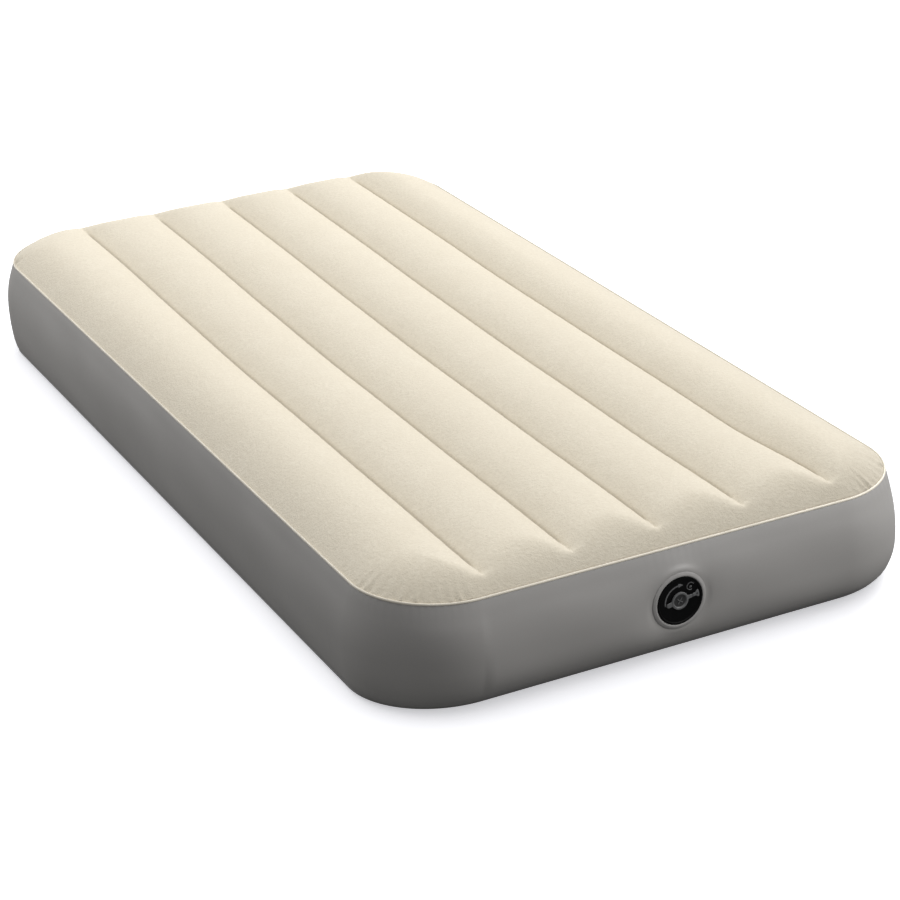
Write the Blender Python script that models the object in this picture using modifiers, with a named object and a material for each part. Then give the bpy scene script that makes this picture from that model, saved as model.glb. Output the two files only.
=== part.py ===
"""Single inflatable air mattress with five lengthwise beams and a two-in-one valve.

Metres, +Z up. The origin is on the floor under the middle of the bed, +Y runs along
its length and the valve is in the middle of the short wall at -Y.
"""

import math

import bmesh
import bpy
from mathutils import Matrix, Vector

# Outline of the inflated bed
LENGTH = 1.91
WIDTH = 0.99
CORNER_RADIUS = 0.17
GAP = 0.0003                # left between pieces that touch
SHEET = 0.0008              # thickness of the coated sheets

# Side wall: how far it stands in from the outline at its seams, and how high they are
TOP_SEAM_Z = 0.186
TOP_SEAM_INSET = 0.022
BULGE_Z = 0.084
BULGE_POWER = 2.25          # shape of the wall above the bulge
BOTTOM_SEAM_Z = 0.008
SIDE_FOOT_INSET = 0.0275    # where the wall's curve would meet the floor, long sides
END_FOOT_INSET = 0.070      # and short ends, which are rounder below
FOOT_POWER = 2.5            # shape of the wall below the bulge, a superellipse
SEAM_RADIUS = 0.0016
SEAM_CLEARANCE = 0.0022     # from a seam's centre to the edge of a sheet that it joins
WALL_ROWS = 15

# Top: six panels between five welded grooves
CROWN_Z = 0.226
GROOVE_Z = 0.2005
GROOVE_SPACING = 0.152
GROOVE_COUNT = 5
GROOVE_END_Y = 0.86
GROOVE_FADE = 0.030         # a groove is gone this close to the seam
BLEND_POWER = 4             # how sharply a groove meets the rolled edge
EDGE_ROLL = 0.10            # width over which the top rises from its seam to the crown
ROLL_POWER = 2.0
PANEL_POWER = 2.3

# Bottom
SIDE_FLOOR_INSET, END_FLOOR_INSET = 0.045, 0.085

# Inner beams
WEB_THICKNESS = 0.0006
WELD_STRIP_WIDTH = 0.024
WELD_STRIP_THICKNESS = 0.0006

# Valve: radii from its axis, and depths from the flattened wall, outwards positive
VALVE_X, VALVE_Z = 0.008, 0.1000
VALVE_PLANE_INSET = 0.006
FLAT_RADIUS = 0.056         # the stiff valve holds the wall flat this far out
FLAT_FADE_RADIUS = 0.084
FLAT_FADE_HEIGHT = 0.016    # and lets go of it over this height next to a seam
WALL_HOLE_RADIUS = 0.0409
HOLE_CUTTER_LENGTH = 0.03
COLLAR_INNER, COLLAR_OUTER = 0.0411, 0.0480
PATCH_RADIUS = 0.0500
BASE_OUTER, BASE_BORE = 0.0388, 0.0354
BASE_FLANGE_RADIUS = 0.0470
BASE_FRONT, BASE_BACK = -0.0017, -0.0150
HEAD_RADIUS = 0.0405
HEAD_RIM_WIDTH = 0.0036
FACE_OUT = 0.0010
BARREL_OUTER, BARREL_INNER = 0.0336, 0.0312
BARREL_BACK = -0.0135
THROAT_RADIUS, THROAT_OUTER = 0.0104, 0.0126
THROAT_BACK = -0.0180
THREAD_PITCH = 0.005
THREAD_RADIUS = 0.00075     # half the width of a thread ridge
THREAD_SINK = 0.00030       # how far a ridge's middle is sunk from its crest's half width
BASE_THREAD_START = -0.0130
INSERT_THREAD_START = -0.0105
STEPS = 48                  # sides of a turned piece

# Inflation cap and its strap
STRAP_TILT = math.radians(10)
HINGE_RADIUS = 0.0225
HINGE_CLEARANCE = 0.0013    # from the hinge's axis to the strap's two halves
TAB_REACH = 0.0215
ANCHOR_REACH = 0.0345
CAP_RADIUS = 0.0148
BUNG_TOP_RADIUS, BUNG_END_RADIUS = 0.0100, 0.0091
BUNG_DEPTH = 0.0080

# Check flap
FLAP_PIVOT_RISE = 0.0142
FLAP_RADIUS = 0.0124
FLAP_THICKNESS = 0.0010

VALVE_Y = -LENGTH / 2 + VALVE_PLANE_INSET
VALVE_CENTRE = Vector((VALVE_X, VALVE_Y, VALVE_Z))


def clear_scene():
    for old in list(bpy.data.objects):
        bpy.data.objects.remove(old, do_unlink=True)


def new_collection(name):
    collection = bpy.data.collections.new(name)
    bpy.context.scene.collection.children.link(collection)
    return collection


def make_material(name, colour, roughness):
    material = bpy.data.materials.new(name)
    material.use_nodes = True
    shader = material.node_tree.nodes["Principled BSDF"]
    shader.inputs["Base Color"].default_value = (*colour, 1.0)
    shader.inputs["Roughness"].default_value = roughness
    shader.inputs["Metallic"].default_value = 0.0
    return material


clear_scene()
PARTS = new_collection("air_mattress")
CUTTERS = new_collection("cutters")
FLOCK = make_material("flocked_top", (0.80, 0.75, 0.64), 0.95)
WALL_VINYL = make_material("wall_vinyl", (0.20, 0.19, 0.18), 0.45)
BASE_VINYL = make_material("base_vinyl", (0.17, 0.165, 0.16), 0.55)
SEAM_VINYL = make_material("seam_vinyl", (0.62, 0.58, 0.50), 0.5)
FIBRE = make_material("beam_fibre", (0.75, 0.75, 0.74), 0.9)
COLLAR_VINYL = make_material("collar_vinyl", (0.26, 0.255, 0.25), 0.4)
BLACK_PLASTIC = make_material("valve_black", (0.012, 0.012, 0.012), 0.35)
CAP_PLASTIC = make_material("cap_grey", (0.055, 0.055, 0.055), 0.4)
RUBBER = make_material("valve_rubber", (0.03, 0.03, 0.03), 0.7)


# ---------------------------------------------------------------- shared tools

def add_mesh(name, bm, material, collection=PARTS):
    """Turns a bmesh into a named object."""
    mesh = bpy.data.meshes.new(name)
    bm.to_mesh(mesh)
    bm.free()
    mesh.materials.append(material)
    piece = bpy.data.objects.new(name, mesh)
    collection.objects.link(piece)
    return piece


def smooth(piece, angle=35):
    piece.data.shade_smooth()
    piece.data.set_sharp_from_angle(angle=math.radians(angle))


def solidify(piece, thickness, offset=-1.0):
    shell = piece.modifiers.new("thickness", "SOLIDIFY")
    shell.thickness = thickness
    shell.offset = offset
    shell.use_even_offset = True


def combine(piece, tool, operation):
    """Adds a Boolean with a helper object, which is kept out of the render."""
    tool.hide_render = True
    tool.display_type = "WIRE"
    step = piece.modifiers.new(operation.lower() + "_" + tool.name, "BOOLEAN")
    step.operation = operation
    step.object = tool
    step.solver = "EXACT"


def add_box(name, low, high, material, collection=PARTS, bevel=0.0):
    """A box between two corners, with rounded edges if bevel is given."""
    low, high = Vector(low), Vector(high)
    bm = bmesh.new()
    bmesh.ops.create_cube(bm, size=1.0)
    size = high - low
    bmesh.ops.scale(bm, vec=size, verts=bm.verts)
    bmesh.ops.translate(bm, vec=(low + high) / 2, verts=bm.verts)
    piece = add_mesh(name, bm, material, collection)
    if bevel:
        edges = piece.modifiers.new("edges", "BEVEL")
        edges.width = bevel
        edges.segments = 2
    return piece


def add_turned(name, profile, material, collection=PARTS, closed=True):
    """A solid turned about the valve's axis from (radius, depth outwards) points.

    The points run from the outer front edge round to the inside: down the outer side
    of the section when it is seen with the outward direction up."""
    bm = bmesh.new()
    points = [bm.verts.new((radius, 0.0, out)) for radius, out in profile]
    pairs = list(zip(points, points[1:]))
    if closed:
        pairs.append((points[-1], points[0]))
    for first, second in pairs:
        bm.edges.new((first, second))
    piece = add_mesh(name, bm, material, collection)
    turn = piece.modifiers.new("turn", "SCREW")
    turn.axis = "Z"
    turn.angle = math.tau
    turn.steps = STEPS
    turn.render_steps = STEPS
    turn.use_merge_vertices = True
    turn.merge_threshold = 0.00001
    piece.matrix_world = on_valve_axis()
    return piece


def on_valve_axis():
    """Local +Z is the outward direction, -Y of the bed, and local +Y is up."""
    return Matrix.Translation(VALVE_CENTRE) @ Matrix.Rotation(math.radians(90), 4, "X")


def valve_point(right, up, out):
    return VALVE_CENTRE + Vector((right, -out, up))


def thread_ridge(name, radius, start_out, turns, material):
    """A right-handed helical ridge as a closed mesh: it runs outwards as it turns
    anticlockwise, seen from outside."""
    curve = bpy.data.curves.new(name, "CURVE")
    curve.dimensions = "3D"
    curve.bevel_depth = THREAD_RADIUS
    curve.bevel_resolution = 2
    curve.use_fill_caps = True
    count = int(STEPS * turns) + 1
    line = curve.splines.new("POLY")
    line.points.add(count - 1)
    for number, point in enumerate(line.points):
        angle = math.tau * number / STEPS
        out = start_out + THREAD_PITCH * angle / math.tau
        point.co = (radius * math.cos(angle), radius * math.sin(angle), out, 1.0)
    guide = bpy.data.objects.new(name + "_guide", curve)
    CUTTERS.objects.link(guide)
    guide.matrix_world = on_valve_axis()
    bpy.context.view_layer.update()
    graph = bpy.context.evaluated_depsgraph_get()
    mesh = bpy.data.meshes.new_from_object(guide.evaluated_get(graph))
    bm = bmesh.new()
    bm.from_mesh(mesh)
    bmesh.ops.remove_doubles(bm, verts=bm.verts, dist=0.00001)
    bmesh.ops.recalc_face_normals(bm, faces=bm.faces)
    bm.to_mesh(mesh)
    bm.free()
    mesh.materials.clear()
    mesh.materials.append(material)
    ridge = bpy.data.objects.new(name, mesh)
    CUTTERS.objects.link(ridge)
    ridge.matrix_world = guide.matrix_world
    bpy.data.objects.remove(guide, do_unlink=True)
    return ridge


# ---------------------------------------------------------------- bed envelope

CORNER_STEPS = 7            # points on each rounded corner
VALVE_COLUMNS = 17          # points across the flattened wall round the valve


def outline(side_inset, end_inset):
    """Points of the rounded rectangle this far inside the bed's outline at its long sides
    and its ends, anticlockwise from the valve end, with extra points across the valve."""
    half_y = LENGTH / 2 - end_inset
    radius_x = CORNER_RADIUS - side_inset
    radius_y = CORNER_RADIUS - end_inset
    points = []
    for column in range(VALVE_COLUMNS):
        share = column / (VALVE_COLUMNS - 1) * 2 - 1
        points.append((VALVE_X + share * FLAT_FADE_RADIUS, -half_y))
    corners = ((1, -1, -90), (1, 1, 0), (-1, 1, 90), (-1, -1, 180))
    for side_x, side_y, start in corners:
        centre_x = side_x * (WIDTH / 2 - CORNER_RADIUS)
        centre_y = side_y * (LENGTH / 2 - CORNER_RADIUS)
        for step in range(CORNER_STEPS):
            angle = math.radians(start + 90 * step / (CORNER_STEPS - 1))
            points.append((centre_x + radius_x * math.cos(angle), centre_y + radius_y * math.sin(angle)))
    return points


def wall_insets(z):
    """How far the bulging wall stands in from the outline at this height, at the long
    sides and at the ends."""
    if z > BULGE_Z:
        inset = TOP_SEAM_INSET * ((z - BULGE_Z) / (TOP_SEAM_Z - BULGE_Z)) ** BULGE_POWER
        return inset, inset
    below = (BULGE_Z - z) / BULGE_Z
    turned_in = 1 - (1 - below ** FOOT_POWER) ** (1 / FOOT_POWER)
    return SIDE_FOOT_INSET * turned_in, END_FOOT_INSET * turned_in


def ease(share):
    share = min(max(share, 0.0), 1.0)
    return share * share * (3 - 2 * share)


def flattened(x, y, z):
    """The wall pulled to a flat disc round the stiff valve."""
    if y > 0:
        return (x, y, z)
    distance = math.hypot(x - VALVE_X, z - VALVE_Z)
    pull = ease((FLAT_FADE_RADIUS - distance) / (FLAT_FADE_RADIUS - FLAT_RADIUS))
    pull *= ease(min(z - BOTTOM_SEAM_Z, TOP_SEAM_Z - z) / FLAT_FADE_HEIGHT)
    return (x, y + pull * (VALVE_Y - y), z)


def loft_rings(bm, rings):
    """Joins closed loops of points, each with the same count, into a skin."""
    loops = []
    for ring in rings:
        loops.append([bm.verts.new(point) for point in ring])
    for lower, upper in zip(loops, loops[1:]):
        edges = []
        for loop in (lower, upper):
            for first, second in zip(loop, loop[1:] + loop[:1]):
                edge = bm.edges.get((first, second)) or bm.edges.new((first, second))
                edges.append(edge)
        bmesh.ops.bridge_loops(bm, edges=edges)
    return loops


def make_side_wall():
    low = BOTTOM_SEAM_Z + SEAM_CLEARANCE
    high = TOP_SEAM_Z - SEAM_CLEARANCE
    rings = []
    for row in range(WALL_ROWS):
        z = low + (high - low) * row / (WALL_ROWS - 1)
        rings.append([flattened(x, y, z) for x, y in outline(*wall_insets(z))])
    bm = bmesh.new()
    loft_rings(bm, rings)
    bmesh.ops.recalc_face_normals(bm, faces=bm.faces)
    if max(bm.faces, key=lambda face: face.calc_center_median().x).normal.x < 0:
        bmesh.ops.reverse_faces(bm, faces=bm.faces)
    wall = add_mesh("side_wall", bm, WALL_VINYL)
    solidify(wall, SHEET)
    smooth(wall, 60)
    bm = bmesh.new()
    bmesh.ops.create_cone(bm, cap_ends=True, segments=STEPS, radius1=WALL_HOLE_RADIUS,
                          radius2=WALL_HOLE_RADIUS, depth=HOLE_CUTTER_LENGTH)
    hole = add_mesh("wall_hole", bm, WALL_VINYL, CUTTERS)
    hole.matrix_world = on_valve_axis()
    combine(wall, hole, "DIFFERENCE")


def top_height(x, y):
    """Height of the top skin: it rolls up from its seam to the crown, and dips into a
    groove over each beam. A groove runs out where the rolled edge falls as low as it."""
    half_x = WIDTH / 2 - TOP_SEAM_INSET
    half_y = LENGTH / 2 - TOP_SEAM_INSET
    radius = CORNER_RADIUS - TOP_SEAM_INSET
    over_x = abs(x) - (half_x - radius)
    over_y = abs(y) - (half_y - radius)
    outside = math.hypot(max(over_x, 0.0), max(over_y, 0.0)) + min(max(over_x, over_y), 0.0)
    depth = max(radius - outside, 0.0)
    rise = 1 - (1 - min(depth / EDGE_ROLL, 1.0)) ** ROLL_POWER
    nearest = round(x / GROOVE_SPACING)
    nearest = max(-(GROOVE_COUNT // 2), min(GROOVE_COUNT // 2, nearest))
    away = min(abs(x - nearest * GROOVE_SPACING) / (GROOVE_SPACING / 2), 1.0)
    dip = (CROWN_Z - GROOVE_Z) * (1 - away) ** PANEL_POWER * ease(depth / GROOVE_FADE)
    fall = (CROWN_Z - TOP_SEAM_Z) * (1 - rise)
    return CROWN_Z - (dip ** BLEND_POWER + fall ** BLEND_POWER) ** (1 / BLEND_POWER)


def top_columns(half_x, radius):
    """Positions across the bed: every groove, three points on each panel between two
    grooves, and evenly turned steps round the corners."""
    grooves = [(number - GROOVE_COUNT // 2) * GROOVE_SPACING for number in range(GROOVE_COUNT)]
    columns = [grooves[0]]
    for left in grooves[:-1]:
        columns += [left + share * GROOVE_SPACING for share in (0.2, 0.5, 0.8, 1.0)]
    turns = [math.radians(90 * step / CORNER_STEPS) for step in range(CORNER_STEPS + 1)]
    outer = [half_x - radius + radius * math.sin(turn) for turn in turns]
    return [-x for x in reversed(outer)] + columns + outer


def top_rows():
    """Positions along the bed as shares of its half-length, closer together near the ends."""
    shares = [0.0, 0.5, 0.84, 0.88, 0.92, 0.96, 0.985, 1.0]
    return [-share for share in reversed(shares[1:])] + shares


def make_top_sheet():
    inset = TOP_SEAM_INSET + SEAM_CLEARANCE
    half_x = WIDTH / 2 - inset
    half_y = LENGTH / 2 - inset
    radius = CORNER_RADIUS - inset
    columns = top_columns(half_x, radius)
    rows = top_rows()
    bm = bmesh.new()
    bmesh.ops.create_grid(bm, x_segments=len(columns) - 1, y_segments=len(rows) - 1, size=1.0)
    for vertex in bm.verts:
        column = round((vertex.co.x + 1) / 2 * (len(columns) - 1))
        row = round((vertex.co.y + 1) / 2 * (len(rows) - 1))
        x = columns[column]
        into_corner = max(abs(x) - (half_x - radius), 0.0)
        reach = half_y - radius + math.sqrt(max(radius ** 2 - into_corner ** 2, 0.0))
        y = rows[row] * reach
        vertex.co = (x, y, top_height(x, y))
    bmesh.ops.recalc_face_normals(bm, faces=bm.faces)
    if sum(face.normal.z for face in bm.faces) < 0:
        bmesh.ops.reverse_faces(bm, faces=bm.faces)
    sheet = add_mesh("top_sheet", bm, FLOCK)
    solidify(sheet, SHEET)
    smooth(sheet, 60)


def make_bottom_sheet():
    side_edge, end_edge = (inset + SEAM_CLEARANCE for inset in wall_insets(BOTTOM_SEAM_Z))
    rings = []
    steps = 4
    for step in range(steps + 1):
        share = step / steps
        side_inset = side_edge + (SIDE_FLOOR_INSET - side_edge) * share
        end_inset = end_edge + (END_FLOOR_INSET - end_edge) * share
        z = (BOTTOM_SEAM_Z - SEAM_RADIUS) * (1 - share) ** 2
        rings.append([flattened(x, y, z) for x, y in outline(side_inset, end_inset)])
    bm = bmesh.new()
    loops = loft_rings(bm, rings)
    bm.faces.new(loops[-1])
    bmesh.ops.recalc_face_normals(bm, faces=bm.faces)
    if max(bm.faces, key=lambda face: face.calc_area()).normal.z > 0:
        bmesh.ops.reverse_faces(bm, faces=bm.faces)
    sheet = add_mesh("bottom_sheet", bm, BASE_VINYL)
    solidify(sheet, SHEET)
    smooth(sheet, 60)


def make_seam(name, insets, z, material):
    """A welded seam: a thin bead all the way round."""
    curve = bpy.data.curves.new(name, "CURVE")
    curve.dimensions = "3D"
    curve.bevel_depth = SEAM_RADIUS
    curve.bevel_resolution = 2
    points = outline(*insets)
    line = curve.splines.new("POLY")
    line.points.add(len(points) - 1)
    for point, (x, y) in zip(line.points, points):
        point.co = (*flattened(x, y, z), 1.0)
    line.use_cyclic_u = True
    curve.materials.append(material)
    seam = bpy.data.objects.new(name, curve)
    PARTS.objects.link(seam)


def make_wall_lap_strip():
    """The tape welded behind the joint where the two ends of the side wall meet. Its rows
    lie level with the wall's, all but the first and the last."""
    across, rows = 0.020, WALL_ROWS - 3
    row_height = (TOP_SEAM_Z - BOTTOM_SEAM_Z - 2 * SEAM_CLEARANCE) / (WALL_ROWS - 1)
    low = BOTTOM_SEAM_Z + SEAM_CLEARANCE + row_height
    high = TOP_SEAM_Z - SEAM_CLEARANCE - row_height
    centre_x = 0.26
    bm = bmesh.new()
    bmesh.ops.create_grid(bm, x_segments=1, y_segments=rows, size=1.0)
    for vertex in bm.verts:
        z = low + (high - low) * (vertex.co.y + 1) / 2
        y = LENGTH / 2 - wall_insets(z)[1] - SHEET - 2 * GAP
        vertex.co = (centre_x - vertex.co.x * across / 2, y, z)
    bmesh.ops.recalc_face_normals(bm, faces=bm.faces)
    if sum(face.normal.y for face in bm.faces) < 0:
        bmesh.ops.reverse_faces(bm, faces=bm.faces)
    strip = add_mesh("wall_lap_strip", bm, WALL_VINYL)
    solidify(strip, WELD_STRIP_THICKNESS)


def make_beams():
    """Each beam is an upright web of fibre between a strip welded under a groove and a
    strip welded to the bottom sheet."""
    top_strip_high = GROOVE_Z - SHEET - GAP
    top_strip_low = top_strip_high - WELD_STRIP_THICKNESS
    bottom_strip_low = SHEET + GAP
    bottom_strip_high = bottom_strip_low + WELD_STRIP_THICKNESS
    half_strip = WELD_STRIP_WIDTH / 2
    half_web = WEB_THICKNESS / 2
    for number in range(GROOVE_COUNT):
        x = (number - GROOVE_COUNT // 2) * GROOVE_SPACING
        end = GROOVE_END_Y
        label = str(number + 1)
        add_box("beam_top_strip_" + label, (x - half_strip, -end, top_strip_low),
                (x + half_strip, end, top_strip_high), BASE_VINYL)
        add_box("beam_web_" + label, (x - half_web, -end, bottom_strip_high + GAP),
                (x + half_web, end, top_strip_low - GAP), FIBRE)
        add_box("beam_bottom_strip_" + label, (x - half_strip, -end, bottom_strip_low),
                (x + half_strip, end, bottom_strip_high), BASE_VINYL)


# ---------------------------------------------------------------- valve

def make_collar():
    """The soft ring welded to the outside of the wall round the valve."""
    mid = (COLLAR_INNER + COLLAR_OUTER) / 2
    profile = [
        (COLLAR_OUTER, GAP),
        (COLLAR_INNER, GAP),
        (COLLAR_INNER, 0.0019),
        (COLLAR_INNER + 0.0008, 0.0026),
        (mid - 0.0010, 0.0028),
        (mid + 0.0014, 0.0021),
        (COLLAR_OUTER - 0.0008, 0.0010),
    ]
    smooth(add_turned("valve_collar", profile, COLLAR_VINYL))


def make_patch():
    """The doubling ring of sheet behind the wall."""
    front = -SHEET - GAP
    back = front - WELD_STRIP_THICKNESS
    inner = BASE_OUTER + 2 * GAP
    profile = [(PATCH_RADIUS, front), (PATCH_RADIUS, back), (inner, back), (inner, front)]
    add_turned("valve_patch", profile, WALL_VINYL)


def make_base():
    """The threaded socket, whose flange is welded inside the bed."""
    flange_front = -SHEET - 2 * GAP - WELD_STRIP_THICKNESS
    flange_back = flange_front - 0.0014
    profile = [
        (BASE_OUTER, BASE_FRONT),
        (BASE_OUTER, flange_front),
        (BASE_FLANGE_RADIUS, flange_front),
        (BASE_FLANGE_RADIUS, flange_back),
        (BASE_OUTER, flange_back - 0.0012),
        (BASE_OUTER, BASE_BACK),
        (BASE_BORE, BASE_BACK),
        (BASE_BORE, BASE_FRONT),
    ]
    base = add_turned("valve_base", profile, BLACK_PLASTIC)
    smooth(base)
    ridge_radius = BASE_BORE - THREAD_RADIUS + THREAD_SINK
    ridge = thread_ridge("base_thread", ridge_radius, BASE_THREAD_START, 1.0, BLACK_PLASTIC)
    combine(base, ridge, "UNION")


def make_gasket():
    """The sealing ring between the socket and the insert's head."""
    front = -0.0001 - GAP
    back = BASE_FRONT + GAP
    inner, outer = BASE_BORE + 2 * GAP, BASE_OUTER - GAP
    profile = [(outer, front), (outer, back), (inner, back), (inner, front)]
    add_turned("valve_gasket", profile, RUBBER)


def make_insert():
    """The screw-in half: a rimmed head, a threaded barrel and the inflation throat, with
    a lug behind the throat for the check flap."""
    seat = 0.0002
    profile = [
        (HEAD_RADIUS, 0.0018),
        (HEAD_RADIUS, -0.0001),
        (BARREL_OUTER, -0.0001),
        (BARREL_OUTER, BARREL_BACK),
        (BARREL_INNER, BARREL_BACK),
        (BARREL_INNER, -0.0010),
        (THROAT_OUTER, -0.0010),
        (THROAT_OUTER, THROAT_BACK),
        (THROAT_RADIUS, THROAT_BACK),
        (THROAT_RADIUS, seat),
        (0.0155, seat),
        (0.0160, FACE_OUT),
        (HEAD_RADIUS - HEAD_RIM_WIDTH, FACE_OUT),
        (HEAD_RADIUS - HEAD_RIM_WIDTH + 0.0010, 0.0024),
        (HEAD_RADIUS - 0.0008, 0.0024),
    ]
    insert = add_turned("valve_insert", profile, BLACK_PLASTIC)
    smooth(insert)
    ridge_radius = BARREL_OUTER + THREAD_RADIUS - THREAD_SINK
    ridge = thread_ridge("insert_thread", ridge_radius, INSERT_THREAD_START, 1.25, BLACK_PLASTIC)
    combine(insert, ridge, "UNION")
    low = valve_point(-0.005, THROAT_RADIUS + 0.0010, THROAT_BACK)
    high = valve_point(0.005, 0.0190, THROAT_BACK + 0.0040)
    lug = add_box("flap_lug", (low.x, high.y, low.z), (high.x, low.y, high.z), BLACK_PLASTIC, CUTTERS)
    combine(insert, lug, "UNION")


def strap_direction():
    return Vector((math.cos(STRAP_TILT), 0.0, math.sin(STRAP_TILT)))


def along_strap():
    """Local +X runs along the strap from the valve's axis, local +Z points outwards."""
    return on_valve_axis() @ Matrix.Rotation(STRAP_TILT, 4, "Z")


def add_flat_shape(name, corners, low_out, high_out, material, collection, rounding=0.0):
    """A plate with the given outline in the strap's plane, between two depths."""
    bm = bmesh.new()
    face = bm.faces.new([bm.verts.new((x, y, low_out)) for x, y in corners])
    if rounding:
        verts = list(bm.verts)
        bmesh.ops.bevel(bm, geom=verts, offset=rounding, segments=3, affect="VERTICES", profile=0.5)
        face = list(bm.faces)[0]
    grown = bmesh.ops.extrude_face_region(bm, geom=[face])
    lifted = [item for item in grown["geom"] if isinstance(item, bmesh.types.BMVert)]
    bmesh.ops.translate(bm, vec=(0, 0, high_out - low_out), verts=lifted)
    bmesh.ops.recalc_face_normals(bm, faces=bm.faces)
    piece = add_mesh(name, bm, material, collection)
    piece.matrix_world = along_strap()
    return piece


def hinge_frame(piece, hinge):
    """Puts a piece's origin on a hinge without moving its mesh."""
    world = piece.matrix_world.copy()
    piece.parent = hinge
    piece.matrix_parent_inverse = hinge.matrix_world.inverted()
    piece.matrix_world = world


def make_cap():
    """The inflation cap: a ribbed hub over a tapered bung, with a pull tab on one side
    and the moving half of its strap on the other."""
    hinge = bpy.data.objects.new("cap_hinge_axis", None)
    CUTTERS.objects.link(hinge)
    hinge.location = VALVE_CENTRE + strap_direction() * HINGE_RADIUS + Vector((0, -0.0019, 0))
    bpy.context.view_layer.update()
    profile = [
        (0.0, 0.0018),
        (0.0112, 0.0018),
        (0.0122, 0.0030),
        (0.0140, 0.0030),
        (CAP_RADIUS, 0.0024),
        (CAP_RADIUS, 0.0005),
        (BUNG_TOP_RADIUS, 0.0005),
        (BUNG_TOP_RADIUS, 0.0),
        (BUNG_END_RADIUS, -BUNG_DEPTH),
        (BUNG_END_RADIUS - 0.0006, -BUNG_DEPTH - 0.0004),
        (0.0072, -BUNG_DEPTH - 0.0004),
        (0.0078, -0.0012),
        (0.0, -0.0012),
    ]
    cap = add_turned("inflation_cap", profile, CAP_PLASTIC, closed=False)
    smooth(cap)
    hinge_frame(cap, hinge)
    arm_end = HINGE_RADIUS - HINGE_CLEARANCE
    strap = [(0.0130, -0.0034), (arm_end, -0.0028), (arm_end, 0.0028), (0.0130, 0.0034)]
    arm = add_flat_shape("cap_arm", strap, FACE_OUT + GAP, 0.0025, CAP_PLASTIC, CUTTERS)
    combine(cap, arm, "UNION")
    tab = [(-0.0130, -0.0040), (-TAB_REACH, -0.0040), (-TAB_REACH, 0.0040), (-0.0130, 0.0040)]
    pull = add_flat_shape("cap_tab", tab, FACE_OUT + GAP, 0.0027, CAP_PLASTIC, CUTTERS, 0.0012)
    combine(cap, pull, "UNION")


def make_strap_anchor():
    """The fixed, flared end of the cap's strap, staked to the insert's face."""
    start = HINGE_RADIUS + HINGE_CLEARANCE
    neck = ANCHOR_REACH - 0.0050
    flare = [(start, -0.0028), (neck, -0.0034), (ANCHOR_REACH, -0.0064), (ANCHOR_REACH, 0.0064),
             (neck, 0.0034), (start, 0.0028)]
    anchor = add_flat_shape("cap_strap_anchor", flare, FACE_OUT + GAP, 0.0025, CAP_PLASTIC,
                            PARTS, 0.0004)
    smooth(anchor)


def make_check_flap():
    """The soft flap that closes the throat from inside, hung from its top edge."""
    pivot = bpy.data.objects.new("flap_hinge_axis", None)
    CUTTERS.objects.link(pivot)
    middle = THROAT_BACK - GAP - FLAP_THICKNESS / 2
    pivot.location = valve_point(0, FLAP_PIVOT_RISE, middle)
    bpy.context.view_layer.update()
    bm = bmesh.new()
    bmesh.ops.create_cone(bm, cap_ends=True, segments=32, radius1=FLAP_RADIUS, radius2=FLAP_RADIUS,
                          depth=FLAP_THICKNESS)
    flap = add_mesh("check_flap", bm, RUBBER)
    flap.matrix_world = on_valve_axis() @ Matrix.Translation((0, 0, middle))
    hinge_frame(flap, pivot)
    low = valve_point(-0.0042, 0.0100, middle - FLAP_THICKNESS / 2)
    high = valve_point(0.0042, FLAP_PIVOT_RISE - GAP, middle + FLAP_THICKNESS / 2)
    neck = add_box("flap_neck", (low.x, high.y, low.z), (high.x, low.y, high.z), RUBBER, CUTTERS)
    combine(flap, neck, "UNION")


def make_flap_clip():
    """The staple that clamps the flap's upper edge to the insert's lug."""
    back = THROAT_BACK - GAP - 0.0022
    low = valve_point(-0.0046, FLAP_PIVOT_RISE + 0.0009, back)
    high = valve_point(0.0046, 0.0186, THROAT_BACK - GAP)
    add_box("flap_clip", (low.x, high.y, low.z), (high.x, low.y, high.z), BLACK_PLASTIC, bevel=0.0004)


make_top_sheet()
make_side_wall()
make_bottom_sheet()
make_seam("top_seam", wall_insets(TOP_SEAM_Z), TOP_SEAM_Z, SEAM_VINYL)
make_seam("bottom_seam", wall_insets(BOTTOM_SEAM_Z), BOTTOM_SEAM_Z, BASE_VINYL)
make_wall_lap_strip()
make_beams()
make_collar()
make_patch()
make_base()
make_gasket()
make_insert()
make_cap()
make_strap_anchor()
make_check_flap()
make_flap_clip()
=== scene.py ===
"""A single inflatable air mattress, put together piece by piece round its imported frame.

Metres, +Z up, +Y along the bed away from the valve.
"""

import math

import bpy
import numpy as np
from mathutils import Matrix, Vector


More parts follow.
